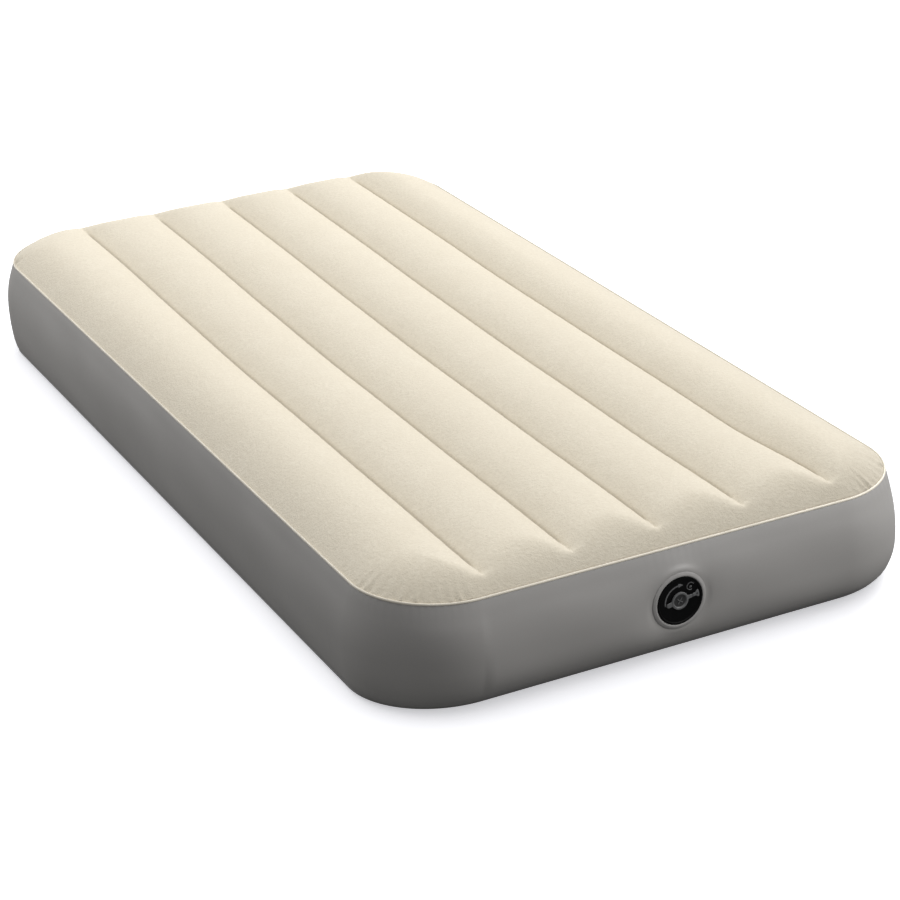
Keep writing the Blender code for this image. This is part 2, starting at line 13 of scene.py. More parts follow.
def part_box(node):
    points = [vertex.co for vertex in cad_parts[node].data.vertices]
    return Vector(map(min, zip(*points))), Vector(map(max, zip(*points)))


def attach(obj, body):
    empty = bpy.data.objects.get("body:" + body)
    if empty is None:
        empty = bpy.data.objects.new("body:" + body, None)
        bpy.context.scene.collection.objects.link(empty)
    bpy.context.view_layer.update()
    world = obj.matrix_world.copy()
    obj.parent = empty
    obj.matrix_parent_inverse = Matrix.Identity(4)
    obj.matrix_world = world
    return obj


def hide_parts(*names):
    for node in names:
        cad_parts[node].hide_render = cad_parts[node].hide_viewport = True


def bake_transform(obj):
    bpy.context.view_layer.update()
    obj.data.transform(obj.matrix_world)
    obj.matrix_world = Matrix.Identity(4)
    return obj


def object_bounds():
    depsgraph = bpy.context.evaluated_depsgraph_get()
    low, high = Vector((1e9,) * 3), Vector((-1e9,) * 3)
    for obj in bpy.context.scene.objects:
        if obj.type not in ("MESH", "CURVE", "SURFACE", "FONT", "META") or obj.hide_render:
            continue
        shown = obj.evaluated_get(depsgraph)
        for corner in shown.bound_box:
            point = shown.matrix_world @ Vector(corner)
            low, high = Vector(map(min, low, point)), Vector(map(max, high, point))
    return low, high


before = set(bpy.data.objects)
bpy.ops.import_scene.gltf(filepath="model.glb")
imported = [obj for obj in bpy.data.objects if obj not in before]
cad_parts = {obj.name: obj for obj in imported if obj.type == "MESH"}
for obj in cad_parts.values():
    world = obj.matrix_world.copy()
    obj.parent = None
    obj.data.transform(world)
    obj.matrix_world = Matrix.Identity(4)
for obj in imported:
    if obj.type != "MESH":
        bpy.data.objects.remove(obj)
frame_low, frame_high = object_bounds()


# ------------------------------------------------------------------ top skin
# The top is one sheet of vinyl with a soft flocked pile. Five straight welds hold it
# down to the beams inside, so that the air lifts it into six long rolls, and the sheet
# gathers into small pleats where its seam turns round a corner.

HALF_WIDTH = (frame_high.x - frame_low.x) / 2
HALF_LENGTH = (frame_high.y - frame_low.y) / 2
CORNER_RADIUS = 0.17
SHEET = 0.0008
SEAM_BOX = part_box("top_seam")
TOP_SEAM_Z = (SEAM_BOX[0].z + SEAM_BOX[1].z) / 2
TOP_SEAM_INSET = 0.022
CROWN_Z = frame_high.z - 0.0012     # the swell and the pleats reach a little above it
STRAIGHT_X, STRAIGHT_Y = HALF_WIDTH - CORNER_RADIUS, HALF_LENGTH - CORNER_RADIUS
WELD_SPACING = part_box("beam_web_5")[0].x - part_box("beam_web_4")[0].x
WELD_COUNT = 5
WELD_END_Y = 0.846          # where a weld stops, short of the seam
WELD_PULL = 0.0215          # how far a weld holds the skin below the crown
WELD_NOTCH = 0.0024         # and the weld's own sharp valley, deeper still
WELD_HALF_WIDTH = 0.0032
WELD_FADE = 0.030           # the notch and its shade run out over this length
# The next width is the half width of the painted shade, a darker cream along each weld's crease; WELD_FADE
# also runs it out.
WELD_SHADE_HALF_WIDTH = 0.0030
ROLL_WIDTH = 0.10           # the skin rises from its seam to the crown over this width
ROLL_POWER = 2.0
VALLEY_POWER = 2.3
VALLEY_START, VALLEY_FADE = 0.010, 0.036    # from the seam inwards
JOIN_POWER = 4
FAR_LEAN, NEAR_LEAN = 0.018, 0.0040
PLEAT_HEIGHT, PLEAT_LENGTH = 0.00190, 0.019
TUCK_HEIGHT, TUCK_REACH = 0.00035, 0.016
SWELL_HEIGHT = 0.0007
ROLL_COLUMNS, CORNER_COLUMNS = 19, 58
MIDDLE_ROWS, TAIL_ROWS = 120, 34
MIDDLE_SHARE = 0.78         # the part of the length whose rows are evenly spaced
CREAM = (0.735, 0.668, 0.535, 1.0)
CREAM_SHADE = (0.640, 0.572, 0.446, 1.0)
CREAM_LIGHT = (0.800, 0.742, 0.615, 1.0)
# The next cream is painted shade for the creases along the welds.
CREAM_WELD_SHADE = (0.430, 0.375, 0.285, 1.0)


class Flow:
    """A value or colour that runs through a material's nodes. Arithmetic on it adds Math
    nodes, and node() adds any other kind."""

    def __init__(self, tree, socket=None):
        self.tree = tree
        self.socket = socket

    def node(self, kind, settings=(), inputs=(), out=0):
        """Adds a node: its settings first, then the values or links of its sockets."""
        made = self.tree.nodes.new("ShaderNode" + kind)
        for name, value in dict(settings).items():
            setattr(made, name, value)
        for name, value in dict(inputs).items():
            if isinstance(value, Flow):
                self.tree.links.new(value.socket, made.inputs[name])
            else:
                made.inputs[name].default_value = value
        return Flow(self.tree, made.outputs[out])

    def math(self, operation, *values):
        return self.node("Math", {"operation": operation}, enumerate(values))

    def __add__(self, other):
        return self.math("ADD", self, other)

    def __sub__(self, other):
        return self.math("SUBTRACT", self, other)

    def __rsub__(self, other):
        return self.math("SUBTRACT", other, self)

    def __mul__(self, other):
        return self.math("MULTIPLY", self, other)

    __radd__ = __add__
    __rmul__ = __mul__

    def ramp(self, low, high):
        """0 below low, 1 above high, straight between."""
        return self.node("MapRange", {"clamp": True},
                         {"Value": self, "From Min": low, "From Max": high})

    def noise(self, scale, detail=2.0, rough=0.5):
        """Soft noise between 0 and 1 with about scale lumps a metre; self is the position."""
        return self.node("TexNoise", {"noise_dimensions": "3D"},
                         {"Vector": self, "Scale": scale, "Detail": detail, "Roughness": rough})

    def tint(self, share, colour):
        """This colour turned towards another by a share from 0 to 1."""
        inputs = {"Factor": share, 6: self, 7: colour}
        return self.node("Mix", {"data_type": "RGBA"}, inputs, out=2)


def new_finish(name, **constants):
    """A material and a Flow of object position in it. The constants go straight onto
    the shader's own sockets, with _ for each space in their names."""
    material = bpy.data.materials.new(name)
    material.use_nodes = True
    shader = material.node_tree.nodes["Principled BSDF"]
    for socket, value in constants.items():
        shader.inputs[socket.replace("_", " ")].default_value = value
    position = Flow(material.node_tree).node("TexCoord", out="Object")
    return material, position


def colour_flow(position, colour):
    """One plain colour, in the same material as a position."""
    flow = position.node("RGB")
    flow.socket.default_value = colour
    return flow


def dress(material, colour=None, roughness=None, height=None, depth=0.0005, strength=0.5):
    """Links a colour, a roughness and a bump height to the material's shader."""
    tree = material.node_tree
    shader = tree.nodes["Principled BSDF"]
    if colour:
        tree.links.new(colour.socket, shader.inputs["Base Color"])
    if roughness:
        tree.links.new(roughness.socket, shader.inputs["Roughness"])
    if height:
        bump = height.node("Bump", {}, {"Height": height, "Strength": strength, "Distance": depth})
        tree.links.new(bump.socket, shader.inputs["Normal"])
    return material


def ease(share):
    """Rises smoothly from 0 to 1 as share goes from 0 to 1."""
    share = np.clip(share, 0.0, 1.0)
    return share * share * (3 - 2 * share)


def grid_faces(rows, columns, wrap_rows=False, wrap_columns=False):
    """Corner numbers of the quads between neighbours in a grid of points."""
    row, column = np.meshgrid(np.arange(rows if wrap_rows else rows - 1),
                              np.arange(columns if wrap_columns else columns - 1), indexing="ij")
    next_row, next_column = (row + 1) % rows, (column + 1) % columns
    corners = (row * columns + column, row * columns + next_column,
               next_row * columns + next_column, next_row * columns + column)
    return np.stack([corner.ravel() for corner in corners], axis=1)


def mesh_piece(name, parts, material, body):
    """One object from (points, faces) parts, shaded smooth, riding on a body if one is
    given."""
    points, faces = [], []
    for part_points, part_faces in parts:
        faces += [[number + len(points) for number in face] for face in part_faces]
        points += part_points.reshape(-1, 3).tolist()
    mesh = bpy.data.meshes.new(name)
    mesh.from_pydata(points, [], faces)
    mesh.update()
    mesh.shade_smooth()
    mesh.materials.append(material)
    piece = bpy.data.objects.new(name, mesh)
    bpy.context.scene.collection.objects.link(piece)
    if body:
        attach(piece, body)
    return piece


def thicken(piece):
    """Gives a piece the sheet's thickness, all of it on the inner side."""
    shell = piece.modifiers.new("sheet_thickness", "SOLIDIFY")
    shell.thickness = SHEET
    shell.offset = -1.0


def repaint(nodes, material):
    """Gives a material to nodes that are carried over from the frame."""
    for node in nodes:
        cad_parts[node].material_slots[0].material = material


def depth_from_seam(x, y):
    """Distance inwards from the top seam, a rectangle with round corners."""
    over_x, over_y = np.abs(x) - STRAIGHT_X, np.abs(y) - STRAIGHT_Y
    outside = np.hypot(np.maximum(over_x, 0), np.maximum(over_y, 0))
    outside = outside + np.minimum(np.maximum(over_x, over_y), 0)
    return np.maximum(CORNER_RADIUS - TOP_SEAM_INSET - outside, 0.0)


def weld_lean(x, y):
    """How far the skin has crept sideways: up to 18 mm at the far end, most in the
    middle, and at the near end only towards its right corner."""
    side = 1 - (x / (HALF_WIDTH - TOP_SEAM_INSET)) ** 2
    corner = np.clip(x / WELD_SPACING, 0, 2) ** 2 * np.minimum(side / 0.58, 1.0)
    return FAR_LEAN * side * ease((y + 0.10) / 0.95) + NEAR_LEAN * corner * ease((-y - 0.62) / 0.25)


def from_weld(x, y, crept):
    """The nearest weld's number, and how far from it a point is sideways and past its
    end."""
    nearest = np.clip(np.round((x - crept) / WELD_SPACING), -(WELD_COUNT // 2), WELD_COUNT // 2)
    across = np.abs(x - crept - nearest * WELD_SPACING)
    return nearest, across, np.maximum(np.abs(y) - WELD_END_Y, 0.0)


def top_height(x, y, crept):
    """Height of the top skin. Its edge falls from the crown to the seam as a parabola, and
    each weld holds it down in a valley whose depth goes with a power of the distance left
    to the middle of a roll. The two depths join as a fourth-power sum, so that a valley
    closes to a point where the edge has fallen as low as it. Tucks beside the welds and a
    slow swell are products of sine waves."""
    depth = depth_from_seam(x, y)
    rise = 1 - (1 - np.minimum(depth / ROLL_WIDTH, 1.0)) ** ROLL_POWER
    nearest, across, beyond = from_weld(x, y, crept)
    away = np.minimum(across / (WELD_SPACING / 2), 1.0)
    valley = WELD_PULL * (1 - away) ** VALLEY_POWER * ease((depth - VALLEY_START) / VALLEY_FADE)
    fall = (1 - rise) * (CROWN_Z - TOP_SEAM_Z)
    held = (valley ** JOIN_POWER + fall ** JOIN_POWER) ** (1 / JOIN_POWER)
    notch = WELD_NOTCH * np.maximum(1 - across / WELD_HALF_WIDTH, 0.0) * ease(1 - beyond / WELD_FADE)
    tucks = TUCK_HEIGHT * np.exp(-across / TUCK_REACH) * ease(across / 0.003) * ease(1 - beyond / 0.01)
    tucks = tucks * (np.sin(y * 173 + nearest * 2.1) * np.sin(y * 61 + nearest * 4.7 + 1.0))
    waves = np.sin(x * 9.1 + 1.3) * np.sin(y * 6.7 + 0.4) + 0.5 * np.sin(y * 14.9 + x * 5.3)
    swell = SWELL_HEIGHT * ease(depth / 0.08) * waves
    return CROWN_Z - held - notch + corner_pleats(x, y, depth) + tucks + swell


def corner_pleats(x, y, depth):
    """Small pleats that stand across the seam where it turns round a corner: uneven waves
    in the angle about the corner's centre, which start at the seam and die out inwards."""
    over_x, over_y = np.abs(x) - STRAIGHT_X, np.abs(y) - STRAIGHT_Y
    angle = np.arctan2(np.maximum(over_y, 1e-6), np.maximum(over_x, 1e-6))
    corner = ease(over_x / 0.03) * ease(over_y / 0.03)
    wave = np.sin(angle * 47 + 2 * np.sin(angle * 5))
    wave = wave + 0.55 * np.sin(angle * 83 + np.sign(x) * 1.7 + np.sign(y))
    uneven = 1 + 0.5 * np.sin(angle * 11 + np.sign(x) * 1.2)
    length = PLEAT_LENGTH * (1 + 0.45 * np.sin(angle * 19 + np.sign(y) * 2))
    return PLEAT_HEIGHT * corner * wave * uneven * ease(depth / 0.004) * np.exp(-depth / length)


def top_grid():
    """Points of the top skin, rows along the bed by columns across it, and how far each
    has crept. Columns crowd at the welds, and turn in even steps round the corners; rows
    follow the short ends."""
    weld_xs = (np.arange(WELD_COUNT) - WELD_COUNT // 2) * WELD_SPACING
    share = np.linspace(0, 1, ROLL_COLUMNS)[1:]
    roll = share - 0.86 * np.sin(math.tau * share) / math.tau
    inner = [weld_xs[:1]] + [left + roll * WELD_SPACING for left in weld_xs[:-1]]
    radius = CORNER_RADIUS - TOP_SEAM_INSET
    turn = np.radians(np.linspace(0, 90, CORNER_COLUMNS))
    near_weld = weld_xs[-1] + np.array([0.0011, 0.0024, 0.0045, 0.0085, 0.0140])
    outer = np.concatenate([near_weld, STRAIGHT_X + radius * np.sin(turn)])
    xs = np.concatenate([-outer[::-1]] + inner + [outer])
    end = np.linspace(0, 1, TAIL_ROWS)[1:]
    middle = np.linspace(-MIDDLE_SHARE, MIDDLE_SHARE, MIDDLE_ROWS)
    tail = MIDDLE_SHARE + (1 - MIDDLE_SHARE) * (end + 0.35 * np.sin(math.pi * end) / math.pi)
    shares = np.concatenate([-tail[::-1], middle, tail])[:, None]
    crept = weld_lean(xs[None, :], shares * (HALF_LENGTH - TOP_SEAM_INSET))
    x = xs + crept
    into = np.maximum(np.abs(x) - STRAIGHT_X, 0.0)
    y = shares * (STRAIGHT_Y + np.sqrt(np.maximum(radius ** 2 - into ** 2, 0.0)))
    return np.stack([x, y, top_height(x, y, crept)], axis=-1), crept


flock, spot = new_finish("flocked_top", Roughness=0.92, Sheen_Weight=0.25, Sheen_Roughness=0.6,
                         Specular_IOR_Level=0.25)
# The weld attribute is the mask of the painted shade along each weld's crease.
weld_painted_shade = spot.node("Attribute", {"attribute_name": "weld"}, out="Fac")
pile = spot.noise(520, 3.0, 0.7)
speckle = spot.noise(170, 3.0, 0.75).ramp(0.30, 0.70)
brushed = spot.noise(9, 3.0, 0.6).ramp(0.35, 0.70)
mottle = spot.noise(38, 2.0, 0.5).ramp(0.30, 0.75)
cream = colour_flow(spot, CREAM).tint(brushed * 0.35, CREAM_LIGHT).tint(mottle * 0.25, CREAM_SHADE)
# Along each weld the cream is painted darker: painted shade in the weld's crease.
cream = cream.tint((1 - speckle) * 0.85, CREAM_SHADE).tint(weld_painted_shade * 0.75, CREAM_WELD_SHADE)
dress(flock, cream, height=pile + speckle, depth=0.0012, strength=0.45)

points, crept = top_grid()
top_skin = mesh_piece("top_skin", [(points, grid_faces(*points.shape[:2]))], flock, "bed")
nearest, across, beyond = from_weld(points[..., 0], points[..., 1], crept)
# How much painted shade each point gets from its weld's crease, kept on the skin as the weld attribute.
weld_shade = ease(1 - across / WELD_SHADE_HALF_WIDTH) * ease(1 - beyond / WELD_FADE)
weld = top_skin.data.attributes.new("weld", "FLOAT", "POINT")
weld.data.foreach_set("value", weld_shade.ravel())
thicken(top_skin)
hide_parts("top_sheet")


# ------------------------------------------------------------------ side wall
# The wall is one long band of plain grey vinyl, welded to the top and the bottom sheet
# and to itself in a lap on the far short side. The air bows it outwards, and the stiff
# valve holds it flat in the middle of the near short side, where it has a round hole.

BOTTOM_SEAM_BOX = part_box("bottom_seam")
BOTTOM_SEAM_Z = (BOTTOM_SEAM_BOX[0].z + BOTTOM_SEAM_BOX[1].z) / 2
BULGE_Z = 0.084
BULGE_POWER = 2.25
SIDE_FOOT_INSET, END_FOOT_INSET = 0.0275, 0.070
FOOT_POWER = 2.5
COLLAR_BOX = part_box("valve_collar")
VALVE_X = (COLLAR_BOX[0].x + COLLAR_BOX[1].x) / 2
VALVE_Z = (COLLAR_BOX[0].z + COLLAR_BOX[1].z) / 2
GAP = 0.0003
VALVE_Y = COLLAR_BOX[1].y + GAP
FLAT_RADIUS = 0.0490
FLAT_FADE_RADIUS = 0.090
FLAT_FADE_HEIGHT = 0.016
HOLE_RADIUS = 0.0409
HOLE_HALF_SIDE = 0.036      # half the side of the grid's square that is rounded into the hole
ROUNDED_HALF_SIDE = 0.064   # and of the square outside which the grid is left straight
LAP_X = 0.26
LAP_WIDTH = 0.020
LAP_STEP = 0.0004
WALL_SLACK = 0.0012         # the wall stays this far inside its outline between the seams
GATHER_HEIGHT, CORNER_GATHER_HEIGHT = 0.00016, 0.00060
TOP_GATHER_REACH, FOOT_GATHER_REACH = 0.012, 0.014
SWAY_HEIGHT, FINE_SWAY_HEIGHT = 0.0011, 0.0007
SIDE_COLUMNS, CORNER_STATIONS = 130, 50
GREY = (0.240, 0.232, 0.222, 1.0)
GREY_LIGHT = (0.275, 0.267, 0.257, 1.0)
GREY_DARK = (0.180, 0.174, 0.167, 1.0)


def perimeter():
    """Stations round the bed, anticlockwise from the near left corner: the outline's
    points and its outward directions."""
    valve_side = np.concatenate([
        np.linspace(-STRAIGHT_X, VALVE_X - ROUNDED_HALF_SIDE, 24)[:-1],
        VALVE_X + np.linspace(-ROUNDED_HALF_SIDE, -HOLE_HALF_SIDE, 9)[:-1],
        VALVE_X + np.linspace(-HOLE_HALF_SIDE, HOLE_HALF_SIDE, 29)[:-1],
        VALVE_X + np.linspace(HOLE_HALF_SIDE, ROUNDED_HALF_SIDE, 9)[:-1],
        np.linspace(VALVE_X + ROUNDED_HALF_SIDE, STRAIGHT_X, 24)])
    long_side = np.linspace(-STRAIGHT_Y, STRAIGHT_Y, SIDE_COLUMNS)
    far_side = np.concatenate([
        np.linspace(STRAIGHT_X, LAP_X + LAP_WIDTH, 6)[:-1],
        np.linspace(LAP_X + LAP_WIDTH, LAP_X - LAP_WIDTH, 21)[:-1],
        np.linspace(LAP_X - LAP_WIDTH, -STRAIGHT_X, 50)])
    sides = ((valve_side, 0, (0, -1)), (long_side, 1, (1, 0)),
             (far_side, 0, (0, 1)), (long_side[::-1], 1, (-1, 0)))
    corners = ((1, -1), (1, 1), (-1, 1), (-1, -1))
    turn = np.radians(np.linspace(0, 90, CORNER_STATIONS))[1:-1]
    places, outward = [], []
    for number, (run, along, facing) in enumerate(sides):
        side = np.array(facing) * np.array([HALF_WIDTH, HALF_LENGTH]) + np.zeros((len(run), 2))
        side[:, along] = run
        angle = turn + math.radians(-90 + 90 * number)
        facing_out = np.stack([np.cos(angle), np.sin(angle)], axis=1)
        middle = np.array([STRAIGHT_X, STRAIGHT_Y]) * corners[number]
        places += [side, middle + CORNER_RADIUS * facing_out]
        outward += [np.tile(np.array(facing, float), (len(run), 1)), facing_out]
    return np.concatenate(places), np.concatenate(outward)


def wall_insets(z):
    """How far the wall stands in from the outline at the long sides and at the ends:
    nothing where it bows out most, more towards the top as a power of the distance, and
    below as a superellipse that would meet the floor."""
    above = np.maximum(z - BULGE_Z, 0) / (TOP_SEAM_Z - BULGE_Z)
    below = np.maximum(BULGE_Z - z, 0) / BULGE_Z
    turned_in = 1 - (1 - below ** FOOT_POWER) ** (1 / FOOT_POWER)
    top_inset = TOP_SEAM_INSET * above ** BULGE_POWER
    return top_inset + SIDE_FOOT_INSET * turned_in, top_inset + END_FOOT_INSET * turned_in


def off_seams(z, reach):
    """0 at the top and the bottom seam, and 1 from a reach away."""
    return ease(np.minimum(z - BOTTOM_SEAM_Z, TOP_SEAM_Z - z) / reach)


def flattened(x, y, z):
    """Where the wall stands along y once the stiff valve holds it flat. Outside the flat
    disc, what the disc's edge was moved by fades out as a square."""
    distance = np.maximum(np.hypot(x - VALVE_X, z - VALVE_Z), 1e-6)
    edge_z = VALVE_Z + (z - VALVE_Z) * np.minimum(FLAT_RADIUS / distance, 1.0)
    moved = VALVE_Y + HALF_LENGTH - wall_insets(edge_z)[1] - WALL_SLACK
    left = np.clip((FLAT_FADE_RADIUS - distance) / (FLAT_FADE_RADIUS - FLAT_RADIUS), 0, 1)
    left = left ** 2 * off_seams(z, FLAT_FADE_HEIGHT)
    held = ease((FLAT_RADIUS + 0.010 - distance) / 0.010)
    return np.where(y < 0, (y + moved * left) * (1 - held) + VALVE_Y * held, y)


def wall_rows():
    """Heights of the wall's rows: crowded at the foot and evenly spaced round the valve."""
    foot_height = VALVE_Z - ROUNDED_HALF_SIDE - BOTTOM_SEAM_Z
    foot_rows = BOTTOM_SEAM_Z + foot_height * np.linspace(0, 1, 7)[:-1] ** 1.5
    ring_rows = np.linspace(HOLE_HALF_SIDE, ROUNDED_HALF_SIDE, 9)
    hole_rows = np.linspace(-HOLE_HALF_SIDE, HOLE_HALF_SIDE, 23)[1:-1]
    high_rows = np.linspace(VALVE_Z + ROUNDED_HALF_SIDE, TOP_SEAM_Z, 9)[1:]
    return np.concatenate([foot_rows, VALVE_Z - ring_rows[::-1], VALVE_Z + hole_rows,
                           VALVE_Z + ring_rows, high_rows])


def wall_relief(places, outward, along, z):
    """How far the wall stands out from its plain shape: gathers at both seams, strongest
    in the corners, the lap's step, and a slow sway that leaves the valve and the lap
    alone."""
    near, far = outward[:, 1] < -0.999, outward[:, 1] > 0.999
    from_lap = np.abs(places[:, 0] - LAP_X)
    run = np.concatenate([[0.0], np.cumsum(np.hypot(*np.diff(places, axis=0).T))])
    cornering = ease(np.abs(outward[:, 0] * outward[:, 1]) / 0.35)
    gathers = np.sin(run * 410 + 2 * np.sin(run * 37)) * (GATHER_HEIGHT + CORNER_GATHER_HEIGHT * cornering)
    below, above = TOP_SEAM_Z - z, z - BOTTOM_SEAM_Z
    reach = np.exp(-below / TOP_GATHER_REACH) * ease(below / 0.004)
    reach = reach + np.exp(-above / FOOT_GATHER_REACH) * ease(above / 0.004)
    lap = LAP_STEP * (far & (from_lap < LAP_WIDTH / 2))
    calm = ease((np.hypot(along - VALVE_X, z - VALVE_Z) - FLAT_RADIUS) / 0.06)
    calm = np.where(near, calm, 1.0) * np.where(far, ease(from_lap / 0.10), 1.0)
    sway = SWAY_HEIGHT * np.sin(run * 8.3 + 0.6) * np.sin((z - 0.02) * 21 + run * 1.9)
    sway = sway + FINE_SWAY_HEIGHT * np.sin(run * 23.7 + z * 30)
    return gathers * reach + lap + sway * calm * off_seams(z, 0.05)


def wall_grid():
    """Points of the wall, rows up it by stations round it, and its faces without those in
    the valve's hole. Round the valve the square grid is drawn into a circle."""
    places, outward = perimeter()
    rows = wall_rows()
    z = np.broadcast_to(rows[:, None], (len(rows), len(places))).copy()
    along = np.broadcast_to(places[:, 0], z.shape)
    near = np.broadcast_to(outward[:, 1] < -0.999, z.shape)
    right, up = along - VALVE_X, z - VALVE_Z
    square = np.maximum(np.abs(right), np.abs(up))
    inside = near & (square < ROUNDED_HALF_SIDE)
    drawn = ease((ROUNDED_HALF_SIDE - square) / (ROUNDED_HALF_SIDE - HOLE_HALF_SIDE))
    circle = HOLE_RADIUS * square / HOLE_HALF_SIDE / np.maximum(np.hypot(right, up), 1e-9)
    factor = np.where(inside, 1 + drawn * (circle - 1), 1.0)
    z = VALVE_Z + up * factor
    side_inset, end_inset = wall_insets(z)
    inwards = WALL_SLACK * off_seams(z, 0.03) - wall_relief(places, outward, along, z)
    x = places[:, 0] + right * (factor - 1) - (side_inset + inwards) * outward[:, 0]
    y = flattened(x, places[:, 1] - (end_inset + inwards) * outward[:, 1], z)
    faces = grid_faces(*z.shape, wrap_columns=True)
    centre_right = right.ravel()[faces].mean(axis=1)
    centre_up = up.ravel()[faces].mean(axis=1)
    in_hole = np.maximum(np.abs(centre_right), np.abs(centre_up)) < HOLE_HALF_SIDE
    return np.stack([x, y, z], axis=-1), faces[~(near.ravel()[faces].all(axis=1) & in_hole)]


def loose_points_removed(points, faces):
    """The same faces with only the points that they use."""
    points = points.reshape(-1, 3)
    used = np.unique(faces)
    renumber = np.zeros(len(points), int)
    renumber[used] = np.arange(len(used))
    return points[used], renumber[faces]


vinyl, spot = new_finish("wall_vinyl", Roughness=0.50, Specular_IOR_Level=0.40)
cloudy = spot.noise(5.0, 2.0, 0.5).ramp(0.35, 0.70)
grain = spot.noise(650, 2.0, 0.5)
scuff = spot.noise(60, 4.0, 0.65).ramp(0.55, 0.80)
grey = colour_flow(spot, GREY).tint(cloudy * 0.35, GREY_LIGHT).tint(grain * 0.25, GREY_DARK)
dress(vinyl, grey, 0.47 + scuff * 0.10 + grain * 0.05, grain, depth=0.0003, strength=0.12)

points, faces = loose_points_removed(*wall_grid())
wall_skin = mesh_piece("wall_skin", [(points, faces)], vinyl, "bed")
thicken(wall_skin)
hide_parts("side_wall")
repaint(("wall_lap_strip", "valve_patch"), vinyl)


# ------------------------------------------------------------------ bottom skin
# The bottom sheet is a heavier vinyl with a pressed leather grain, so that the bed
# doesn't slide. Its edge turns up to the bottom seam, and the rest lies flat.

BOTTOM_SEAM_INSETS = np.array(wall_insets(BOTTOM_SEAM_Z))
FLOOR_INSETS = np.array([0.045, 0.085])
SPINE_HALF_LENGTH = 0.5      # the rings shrink towards a middle line this long
SPINE_SHARE = 0.97
BASE_GREY = (0.150, 0.145, 0.140, 1.0)
BASE_GREY_DARK = (0.085, 0.082, 0.080, 1.0)


def bottom_rings():
    """Rings from the bottom seam in to the flat part: the height falls as the square of
    the distance left. Past that the rings shrink evenly to the middle line."""
    places, outward = perimeter()
    share = np.linspace(0, 1, 13)[:, None]
    insets = BOTTOM_SEAM_INSETS + (FLOOR_INSETS - BOTTOM_SEAM_INSETS) * share
    flat = places - insets[:, None] * outward
    heights = np.broadcast_to((BOTTOM_SEAM_Z - 0.0016) * (1 - share) ** 2, flat.shape[:2])
    edge = np.dstack([flat, heights])
    spine = edge[-1] * (0, 1, 0)
    spine = np.clip(spine, -SPINE_HALF_LENGTH, SPINE_HALF_LENGTH)
    steps = np.linspace(0, 1, 7)[1:, None, None]
    return np.concatenate([edge, edge[-1] + (spine - edge[-1]) * steps * SPINE_SHARE])


leather, spot = new_finish("base_vinyl", Roughness=0.55, Specular_IOR_Level=0.4)
cells = spot.node("TexVoronoi", {"feature": "DISTANCE_TO_EDGE"}, {"Vector": spot, "Scale": 420.0})
pebble = cells.ramp(0.0, 0.25)
fleck = spot.noise(140, 3.0, 0.6)
base_grey = colour_flow(spot, BASE_GREY).tint((1 - pebble) * 0.7, BASE_GREY_DARK).tint(fleck * 0.2, GREY)
dress(leather, base_grey, 0.48 + fleck * 0.16, pebble, depth=0.0004, strength=0.4)

rings = bottom_rings()
last = (rings.shape[0] - 1) * rings.shape[1]
closing_face = [list(range(last, last + rings.shape[1]))[::-1]]
faces = grid_faces(*rings.shape[:2], wrap_columns=True)[:, ::-1].tolist() + closing_face
bottom_skin = mesh_piece("bottom_skin", [(rings, faces)], leather, "bed")
thicken(bottom_skin)
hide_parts("bottom_sheet")
beams = range(1, WELD_COUNT + 1)
repaint([f"beam_{side}_strip_{number}" for side in ("top", "bottom") for number in beams], leather)


# ------------------------------------------------------------------ seams
# Each seam is a hot weld that leaves a narrow lip all the way round. The top one shows
# the pale cut edge of the flocked sheet, and the bottom one is grey.

TOP_LIP_HALF_SIZE = (0.0018, 0.0023)
BOTTOM_LIP_HALF_SIZE = (0.0016, 0.0016)
PALE = (0.560, 0.520, 0.440, 1.0)
PALE_WORN = (0.450, 0.410, 0.340, 1.0)


def carried(rings, looped):
    """A closed skin from a loop of points carried from ring to ring. looped joins the last
    ring to the first, and otherwise each end ring is closed with a face. The faces are
    turned round if their signed volume says that they point inwards."""
    count, size = rings.shape[:2]
    faces = grid_faces(count, size, wrap_rows=looped, wrap_columns=True)
    points = rings.reshape(-1, 3)
    first, second, third, fourth = (points[faces[:, corner]] for corner in range(4))
    middle = points.mean(axis=0)
    volume = (np.cross(second - first, third - first) + np.cross(third - first, fourth - first))
    inward = ((first - middle) * volume).sum() < 0
    faces = faces.tolist()
    if not looped:
        faces.append(list(range(size))[::-1])
        faces.append(list(range((count - 1) * size, count * size)))
    if inward:
        faces = [face[::-1] for face in faces]
    return points, faces


def seam_lip(name, insets, z, half_size, material):
    """An oval section, half its width and height given, carried round the outline a
    little proud of the wall."""
    places, outward = perimeter()
    turn = np.linspace(0, math.tau, 12, endpoint=False)
    beside, above = half_size[0] * np.cos(turn), half_size[1] * np.sin(turn)
    flat = places[:, None, :] + (beside[None, :, None] - insets) * outward[:, None, :]
    rings = np.dstack([flat, np.broadcast_to(z + above, flat.shape[:2])])
    return mesh_piece(name, [carried(rings, True)], material, "bed")


pale_edge, spot = new_finish("seam_vinyl", Roughness=0.5, Specular_IOR_Level=0.4)
rubbed = spot.noise(45, 3.0, 0.6).ramp(0.45, 0.75)
ribs = spot.noise(800, 1.0, 0.4)
pale = colour_flow(spot, PALE).tint(rubbed * 0.5, PALE_WORN).tint(ribs * 0.2, PALE_WORN)
dress(pale_edge, pale, 0.45 + rubbed * 0.2, ribs, depth=0.0003, strength=0.3)

top_lip = seam_lip("top_lip", TOP_SEAM_INSET, TOP_SEAM_Z, TOP_LIP_HALF_SIZE, pale_edge)
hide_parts("top_seam")
bottom_lip = seam_lip("bottom_lip", BOTTOM_SEAM_INSETS, BOTTOM_SEAM_Z, BOTTOM_LIP_HALF_SIZE,
                      leather)
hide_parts("bottom_seam")


# ------------------------------------------------------------------ inner beams
# Each beam is a web of fine upright polyester yarns, welded at its top and bottom edge
# to a strip of vinyl. They can't be seen once the bed is closed.

